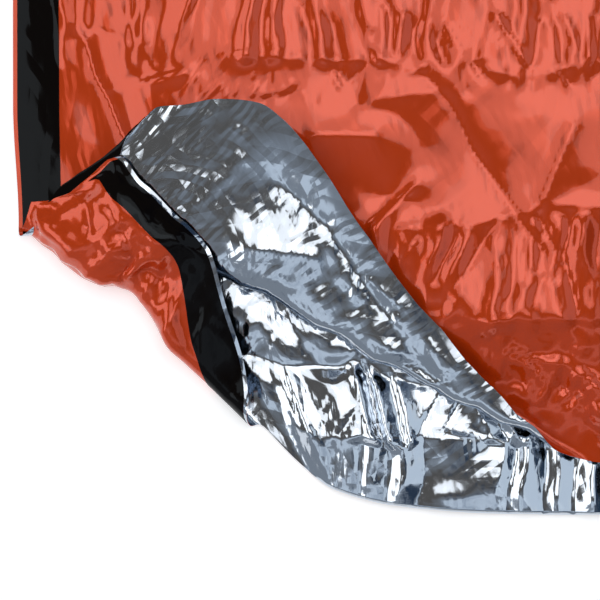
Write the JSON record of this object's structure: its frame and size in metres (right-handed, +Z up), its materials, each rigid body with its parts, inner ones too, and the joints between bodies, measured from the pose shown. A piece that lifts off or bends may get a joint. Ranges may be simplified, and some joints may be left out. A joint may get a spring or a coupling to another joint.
{
  "type": "bivy bag",
  "caption": "Emergency film bivy bag lying flat and crumpled: orange outside, silver inside, black tape along the side and mouth, mouth edge turned back as a cuff.",
  "frame": {"origin": "on the ground, under the middle of the bag's length and width", "axes": "+Y along the bag from its mouth to its foot, +X across it away from the taped side, +Z up"},
  "size_m": [0.91, 2.13, 0.0453],
  "materials": {
    "film": "glossy orange film, aluminised silver on its inner face",
    "tape": "black tape with a soft sheen"
  },
  "bodies": {
    "root": {"bottom_panel": "film", "top_panel": "film", "side_tape": "tape", "mouth_tape": "tape"}
  },
  "joints": []
}
